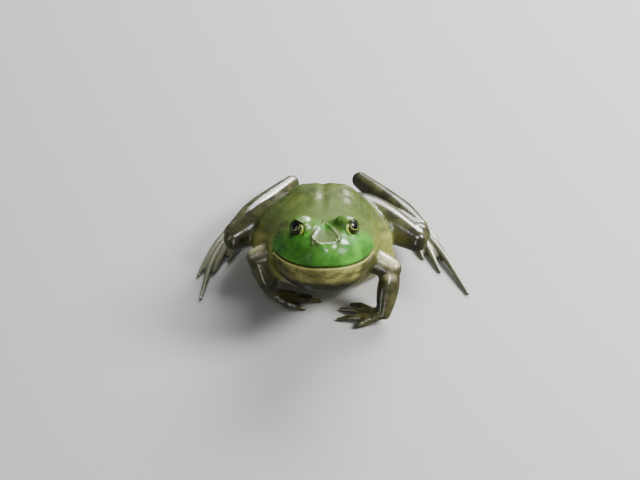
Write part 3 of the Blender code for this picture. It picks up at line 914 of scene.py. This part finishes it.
class Finish:
    """A material and short words for its nodes. Patterns lie on Object coordinates."""

    def __init__(self, name):
        self.material = bpy.data.materials.new(name)
        self.material.use_nodes = True
        self.tree = self.material.node_tree
        self.shader = self.tree.nodes["Principled BSDF"]
        self.place = self.tree.nodes.new("ShaderNodeTexCoord").outputs["Object"]

    def give(self, sockets, values):
        """Feeds sockets with plain values, screen colours or the outputs of other nodes."""
        for key, value in values.items():
            socket = sockets[key]
            if isinstance(value, bpy.types.NodeSocket):
                self.tree.links.new(value, socket)
            elif socket.type == "RGBA":
                socket.default_value = (*colour(*value), 1)
            else:
                socket.default_value = value

    def node(self, kind, values, out=0, **settings):
        made = self.tree.nodes.new("ShaderNode" + kind)
        for key, value in settings.items():
            setattr(made, key, value)
        self.give(made.inputs, values)
        return made.outputs[out]

    def field(self, name):
        return self.node("Attribute", {}, 2, attribute_name=name)

    def noise(self, size, detail, roughness, distortion=0.0, stretch=(1, 1, 1)):
        """Cloudy noise from 0 to 1 with features about as wide as size, in millimetres; a
        stretch under 1 draws them out along that axis."""
        place = self.node("VectorMath", {0: self.place, 1: stretch}, operation="MULTIPLY")
        return self.node("TexNoise", {"Vector": place, "Scale": 1 / (size * MM), "Detail": detail,
                                      "Roughness": roughness, "Distortion": distortion})

    def maths(self, operation, one, other=0.0):
        return self.node("Math", {0: one, 1: other}, operation=operation)

    def times(self, one, other):
        return self.maths("MULTIPLY", one, other)

    def plus(self, one, other):
        return self.maths("ADD", one, other)

    def between(self, value, low, high, to_low=0.0, to_high=1.0):
        return self.node("MapRange", {0: value, 1: low, 2: high, 3: to_low, 4: to_high},
                         interpolation_type="SMOOTHSTEP")

    def mix(self, share, one, other):
        return self.node("Mix", {0: share, 6: one, 7: other}, 2, data_type="RGBA")

    def two_tone(self, pattern, low, high, one, other):
        """Colour one where the pattern is under low, and the other where it is over high."""
        return self.mix(self.between(pattern, low, high), one, other)

    def over(self, base, *layers):
        """Lays colours over a base in turn, each as where, how strongly, and the colour."""
        for place, strength, tone in layers:
            base = self.mix(self.times(place, strength), base, tone)
        return base

    def bump(self, height, strength, depth):
        return self.node("Bump", {"Strength": strength, "Distance": depth * MM, "Height": height})


class SkinFinish(Finish):
    """Wet skin: each region's colours follow clouds of noise, and fields lay the regions on."""

    def __init__(self):
        super().__init__("wet skin")
        self.broad = self.noise(14, 3, 0.55, 0.4)
        self.blotch = self.noise(6, 4, 0.6, 0.25)
        self.fine = self.noise(1.3, 4, 0.65)
        self.grain = self.noise(0.5, 2, 0.5)
        self.dapple = self.between(self.blotch, 0.5, 0.62)
        film = self.relief()
        self.give(self.shader.inputs, {
            "Base Color": self.whole(),
            "Normal": self.bump(film, 0.35, 0.25),
            "Coat Normal": self.bump(film, 0.22, 0.25),
            "Roughness": self.between(self.fine, 0.3, 0.7, 0.34, 0.5),
            "Coat Weight": self.field("wet"),
            "Coat Roughness": 0.2,
            "Coat IOR": 1.55,
            "Specular IOR Level": 0.05,
            "Subsurface Weight": 0.08,
            "Subsurface Scale": 0.6 * MM,
            "Subsurface Radius": (1.0, 0.7, 0.3),
        })

    def back(self):
        streaks = self.noise(2.2, 3, 0.5, stretch=(1.0, 0.22, 0.5))
        return self.over(
            self.two_tone(self.broad, 0.35, 0.65, (62, 77, 28), (88, 104, 42)),
            (self.between(self.blotch, 0.56, 0.68), 0.4, (58, 66, 34)),
            (self.between(streaks, 0.5, 0.7), 0.25, (142, 150, 84)),
            # painted sheen: pale streaks along the top of the back, a painted highlight
            (self.field("sheen"), self.between(self.fine, 0.35, 0.6, 0.3, 0.85), (196, 204, 168)))

    def flank(self):
        return self.over(
            self.two_tone(self.broad, 0.4, 0.6, (188, 184, 104), (138, 139, 68)),
            (self.dapple, 0.35, (76, 74, 42)))

    def face(self):
        return self.over(
            self.two_tone(self.broad, 0.38, 0.62, (86, 156, 52), (56, 116, 36)),
            (self.between(self.blotch, 0.48, 0.66), 0.35, (44, 92, 30)),
            (self.between(self.fine, 0.5, 0.7), 0.2, (120, 170, 76)))

    def throat(self):
        """Pale, with dark bands that run parallel to the mouth's line, as the creases do, and
        wander with the blotches, and painted shade that darkens it towards its bottom and its
        sides.
        """
        bands = self.maths("SINE", self.plus(self.times(self.field("folds"), 0.6),
                                             self.times(self.blotch, 11.0)))
        return self.over(
            self.two_tone(self.broad, 0.38, 0.6, (176, 174, 100), (120, 118, 64)),
            (self.between(bands, -0.1, 0.8), 0.55, (66, 63, 36)),
            # painted shade low on the throat and at its sides
            (self.field("painted_throat_shade"), 0.9, (30, 28, 15)))

    def limbs(self):
        return self.over(
            self.two_tone(self.broad, 0.35, 0.65, (68, 68, 38), (96, 95, 58)),
            (self.field("bars"), 0.85, (34, 33, 22)),
            (self.dapple, 0.5, (44, 41, 26)),
            (self.between(self.broad, 0.52, 0.64), 0.5, (36, 34, 26)),
            # feet: their own paler colour, with a painted highlight on their upward faces
            (self.field("feet"), 0.5, (162, 164, 138)),
            # elbow tops: pale khaki own colour and a painted highlight, on upward faces only
            (self.field("elbow"), self.between(self.fine, 0.35, 0.65, 0.9, 0.55), (236, 230, 178)))

    def whole(self):
        """All regions over the back's colour, with dark and pale specks over all."""
        belly = self.two_tone(self.blotch, 0.45, 0.6, (206, 200, 164), (134, 126, 94))
        drum = self.two_tone(self.fine, 0.4, 0.6, (96, 98, 52), (76, 72, 40))
        return self.over(
            self.back(),
            (self.field("side"), 0.8, self.flank()),
            (self.field("green"), 1.0, self.face()),
            (self.field("snout"), 0.8, (84, 102, 52)),
            (self.field("crown"), 0.6, (92, 112, 50)),
            (self.field("throat"), 1.0, self.throat()),
            (self.field("limb"), 1.0, self.limbs()),
            (self.field("belly"), 0.85, belly),
            (self.field("lip"), 0.9, (204, 206, 116)),
            (self.field("mouth"), 1.0, (34, 36, 20)),
            (self.field("drum"), 0.5, drum),
            (self.field("rim"), 0.75, (32, 36, 18)),
            (self.between(self.fine, 0.45, 0.75), 0.28, (40, 44, 26)),
            (self.between(self.grain, 0.55, 0.8), 0.06, (190, 196, 150)))

    def relief(self):
        """Height of the granules, lower on the smooth green face, and of finer unevenness."""
        cells = self.node("TexVoronoi", {"Vector": self.place, "Scale": 1 / (1.25 * MM)})
        granules = self.between(cells, 0.0, 0.75, 1.0, 0.0)
        roughness = self.maths("SUBTRACT", 1.0, self.times(self.field("green"), 0.7))
        height = self.plus(self.times(granules, self.times(roughness, 0.5)),
                           self.times(self.fine, 0.5))
        return self.plus(height, self.times(self.grain, 0.25))


def eye_finish():
    """Dark iris with flecks, a gold crescent below in front, a thin gold ring and the pupil,
    under a clear coat. The gold ring fades out towards the top as painted shade of the upper lid,
    and painted shade of the lids darkens the iris near the opening's edge, except below in front."""
    finish = Finish("eye")
    field, between = finish.field, finish.between
    streak = finish.noise(0.5, 4, 0.7, 1.5)
    cloud = finish.noise(1.6, 3, 0.6, 0.5)
    gold = finish.two_tone(streak, 0.4, 0.7, (216, 242, 92), (176, 198, 52))
    crescent = finish.plus(field("crescent"), finish.times(streak, 0.3))
    pupil = finish.plus(field("pupil"), finish.times(streak, 0.06))
    ring = finish.times(between(pupil, 1.02, 1.06), between(pupil, 1.16, 1.1))
    finish.give(finish.shader.inputs, {
        "Base Color": finish.over(
            finish.two_tone(streak, 0.4, 0.62, (36, 38, 12), (78, 80, 26)),
            (between(cloud, 0.42, 0.58), 0.75, (18, 18, 7)),
            (between(streak, 0.62, 0.74), 0.5, (150, 154, 56)),
            (field("shade"), 0.85, (12, 10, 5)),
            (between(crescent, 0.5, 0.75), 1.0, gold),
            # gold ring, faded at its top as painted shade of the upper lid
            (ring, field("ring"), (206, 226, 112)),
            (between(pupil, 1.03, 0.99), 1.0, (4, 4, 4)),
            (field("rear"), 1.0, (20, 16, 8))),
        "Normal": finish.bump(streak, 0.4, 0.15),
        "Roughness": 0.4,
        "Coat Weight": 1.0,
        "Coat Roughness": 0.02,
        "Coat IOR": 1.36,
        "Specular IOR Level": 0.1,
    })
    return finish.material


# ---- eyes
def make_eye(side, sign, material):
    """Eyeball, a sphere on a grid about the pupil's axis, p(u, v) = m + r (sin u cos v a
    + sin u sin v b + cos u c). Its fields say where pupil, gold ring and crescent lie."""
    axis = direction(*PUPIL_AXIS)
    upward, beside = square_to(axis)
    u = np.radians(np.concatenate((np.linspace(1.5, 70, 60), np.linspace(74, 178, 24))))
    u, v = u[:, None, None], circle(96)[::-sign][None, :, None]
    unit = np.sin(u) * (np.cos(v) * beside + np.sin(v) * upward) + np.cos(u) * axis
    shells = Shells()
    shells.add(to_world((EYE_PLACE + EYE_RADIUS * unit) * (sign, 1, 1)))
    mesh = shells.mesh("eyeball_" + side)
    mesh.shade_smooth()
    body = folded(read_points(mesh))
    unit = (body - EYE_PLACE) / EYE_RADIUS
    width, height = unit @ beside, unit @ upward
    pupil = np.hypot(width / PUPIL_HALF[0], height / PUPIL_HALF[1])
    _, angle, around = about_eye(body)
    edge = opening_edge(around)
    lower_front = bell((around - 345 + 180) % 360 - 180, 0, 58)
    set_fields(mesh, {
        "pupil": np.where(unit @ axis > 0, pupil, 9),
        "crescent": step(edge - 15, edge - 9, angle) * lower_front,
        # the gold ring fades out towards the top: painted shade of the upper lid
        "ring": step(0.34, -0.1, height) * 0.85,
        "rear": step(edge + 1, edge + 6, angle),
        "shade": step(edge - 18, edge - 3, angle) * (1 - lower_front),
    })
    mesh.materials.append(material)
    eye = put("eyeball_" + side, mesh)
    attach(eye, "root")
    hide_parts("eye_" + side)


skin = make_skin()
skin.data.materials.append(SkinFinish().material)
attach(skin, "root")
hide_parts(*[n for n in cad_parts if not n.startswith("eye_")])
glaze = eye_finish()
for side, sign in SIDES.items():
    make_eye(side, sign, glaze)


# ---- floor, light and camera
# place in metres, width, height, power, whether it lights the form and whether it is mirrored
LAMPS = {
    "sky": ((0.42, 1.05, 0.72), 1.0, 0.65, 33, True, True),
    "sun": ((0.62, 0.95, 0.72), 0.3, 0.3, 14, False, True),
    "key": ((0.95, -0.1, 0.8), 0.4, 0.4, 25, True, True),
    "fill": ((-0.7, -1.4, 1.1), 2.2, 2.2, 5, True, False),
    "high window": ((0.1, -0.8, 1.25), 0.5, 0.4, 13, False, True),
    "horizon": ((0.5, 1.4, 0.1), 1.6, 0.16, 1.3, False, True),
    "low window": ((-0.3, -1.5, 0.05), 0.14, 1.2, 5, False, True),
    "side window": ((-1.0, -0.5, 0.5), 0.14, 0.9, 3, False, True),
}
LAMP_TARGET = (0, 0, 0.03)
WORLD_COLOUR, WORLD_STRENGTH = (0.9, 0.95, 1.0, 1), 0.15
CAMERA_TARGET = (-0.0018, -0.0296, 0.040)
CAMERA_ELEVATION = math.radians(40)
CAMERA_DISTANCE = 1.5
VIEW_WIDTH = 0.384                  # width of the view at the target, in metres
SENSOR = 36


def add_floor():
    bpy.ops.mesh.primitive_plane_add(size=6)
    floor = bpy.context.object
    floor.name = "floor"
    material = bpy.data.materials.new("floor")
    material.use_nodes = True
    shader = material.node_tree.nodes["Principled BSDF"]
    shader.inputs["Base Color"].default_value = (0.52, 0.52, 0.51, 1)
    shader.inputs["Roughness"].default_value = 0.7
    floor.data.materials.append(material)
    floor.visible_glossy = False
    floor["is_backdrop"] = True


def aim(piece, place, target):
    """Puts a lamp or camera at its place, looking at the target."""
    piece.location = place
    piece.rotation_euler = (Vector(target) - Vector(place)).to_track_quat("-Z", "Y").to_euler()


def add_lamps():
    """Rectangular lamps turned to the frog. One that isn't mirrored lights the form but doesn't
    show in the wet skin; one that doesn't light shows there alone."""
    for name, (place, width, height, power, lights, mirrored) in LAMPS.items():
        data = bpy.data.lights.new(name, "AREA")
        data.shape, data.size, data.size_y, data.energy = "RECTANGLE", width, height, power
        lamp = put(name, data)
        aim(lamp, place, LAMP_TARGET)
        lamp.visible_diffuse, lamp.visible_glossy = lights, mirrored
    world = bpy.data.worlds.new("studio")
    world.use_nodes = True
    shader = world.node_tree.nodes["Background"]
    shader.inputs[0].default_value, shader.inputs[1].default_value = WORLD_COLOUR, WORLD_STRENGTH
    bpy.context.scene.world = world


def add_camera():
    data = bpy.data.cameras.new("camera")
    data.sensor_width = SENSOR
    data.lens = SENSOR * CAMERA_DISTANCE / VIEW_WIDTH
    data.clip_start, data.clip_end = 0.01, 20
    camera = put("camera", data)
    away = Vector((0, -math.cos(CAMERA_ELEVATION), math.sin(CAMERA_ELEVATION)))
    aim(camera, Vector(CAMERA_TARGET) + CAMERA_DISTANCE * away, CAMERA_TARGET)
    bpy.context.scene.camera = camera


add_floor()
add_lamps()
add_camera()
